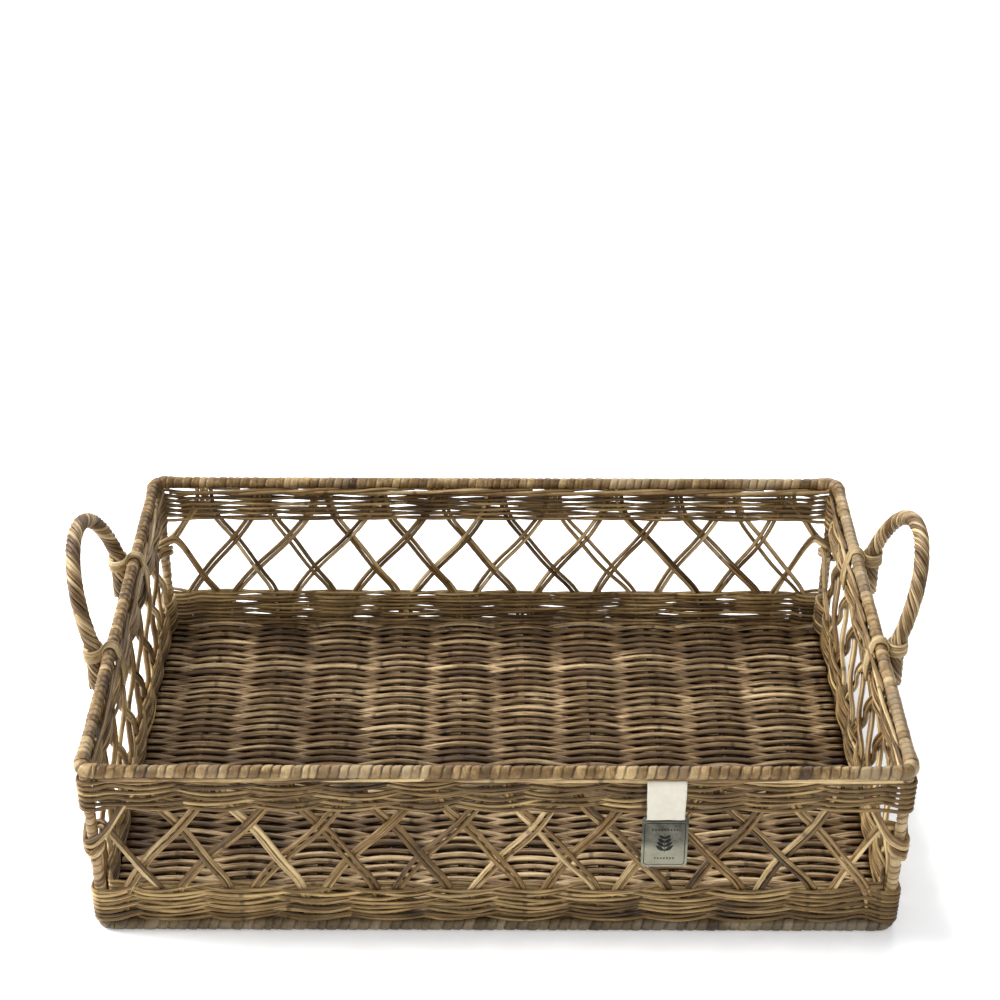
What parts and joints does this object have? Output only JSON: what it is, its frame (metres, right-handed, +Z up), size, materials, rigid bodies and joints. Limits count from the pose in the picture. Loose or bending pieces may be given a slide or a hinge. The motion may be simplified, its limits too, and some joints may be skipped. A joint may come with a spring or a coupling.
{
  "type": "woven rattan serving tray",
  "caption": "Rectangular open-lattice rattan serving tray with bound rim, woven base, rope loop handles on the short sides and a small hanging metal tag.",
  "frame": {"origin": "centre of the resting plane: middle of the length and of the width, at the underside of the foot frame", "axes": "+Z up; X along the long side, +X towards the tagged end of the front wall; +Y away from the tagged wall, towards the back"},
  "size_m": [0.6705, 0.4326, 0.2167],
  "materials": {
    "peel_rim": "flat rattan peel, matt, patchy olive, gold and grey",
    "peel_foot": "flat rattan peel, matt, darker",
    "peel_post": "flat rattan peel, matt",
    "pole": "bare rattan pole, hidden inside the binding",
    "lattice_cane": "round cane in pairs, golden tan, faint sheen",
    "band_cane": "round cane in doubled rows, brown grey",
    "base_cane": "round cane, grey brown, matt",
    "base_rib": "round cane hidden in the weave",
    "rope_cane": "twisted thin canes, tan with olive streaks",
    "straw": "pale straw binding",
    "ribbon": "cream cotton tape",
    "pewter": "antique silver, worn highlights"
  },
  "bodies": {
    "tray": {"base_rib_01": "base_rib", "base_rib_02": "base_rib", "base_rib_03": "base_rib", "base_rib_04": "base_rib", "base_rib_05": "base_rib", "base_rib_06": "base_rib", "base_rib_07": "base_rib", "base_rib_08": "base_rib", "base_rib_09": "base_rib", "base_rib_10": "base_rib", "base_weave": "base_cane", "fabric_tab": "ribbon", "foot_binding_back": "peel_foot", "foot_binding_front": "peel_foot", "foot_binding_left": "peel_foot", "foot_binding_right": "peel_foot", "foot_pole": "pole", "handle_collar_left_back": "straw", "handle_collar_left_front": "straw", "handle_collar_right_back": "straw", "handle_collar_right_front": "straw", "handle_lashing_left_back": "straw", "handle_lashing_left_front": "straw", "handle_lashing_right_back": "straw", "handle_lashing_right_front": "straw", "handle_rope_left": "rope_cane", "handle_rope_right": "rope_cane", "lattice_back": "lattice_cane", "lattice_front": "lattice_cane", "lattice_left": "lattice_cane", "lattice_right": "lattice_cane", "lower_band_row_1": "band_cane", "lower_band_row_2": "band_cane", "lower_band_row_3": "band_cane", "lower_band_row_4": "band_cane", "post_back_left": "pole", "post_back_right": "pole", "post_binding_back_left": "peel_post", "post_binding_back_right": "peel_post", "post_binding_front_left": "peel_post", "post_binding_front_right": "peel_post", "post_front_left": "pole", "post_front_right": "pole", "rim_binding_back": "peel_rim", "rim_binding_front": "peel_rim", "rim_binding_left": "peel_rim", "rim_binding_right": "peel_rim", "rim_corner_back_left": "peel_rim", "rim_corner_back_right": "peel_rim", "rim_corner_front_left": "peel_rim", "rim_corner_front_right": "peel_rim", "rim_pole": "pole", "upper_band_row_1": "band_cane", "upper_band_row_2": "band_cane", "upper_band_row_3": "band_cane"},
    "tag": {"tag_plate": "pewter"}
  },
  "joints": [
    {"name": "tag_swing", "type": "hinge", "parent": "tray", "child": "tag", "pos_m": [0.1206, -0.2155, 0.11], "axis": [-1, 0, 0], "range_deg": [0, 100]}
  ]
}
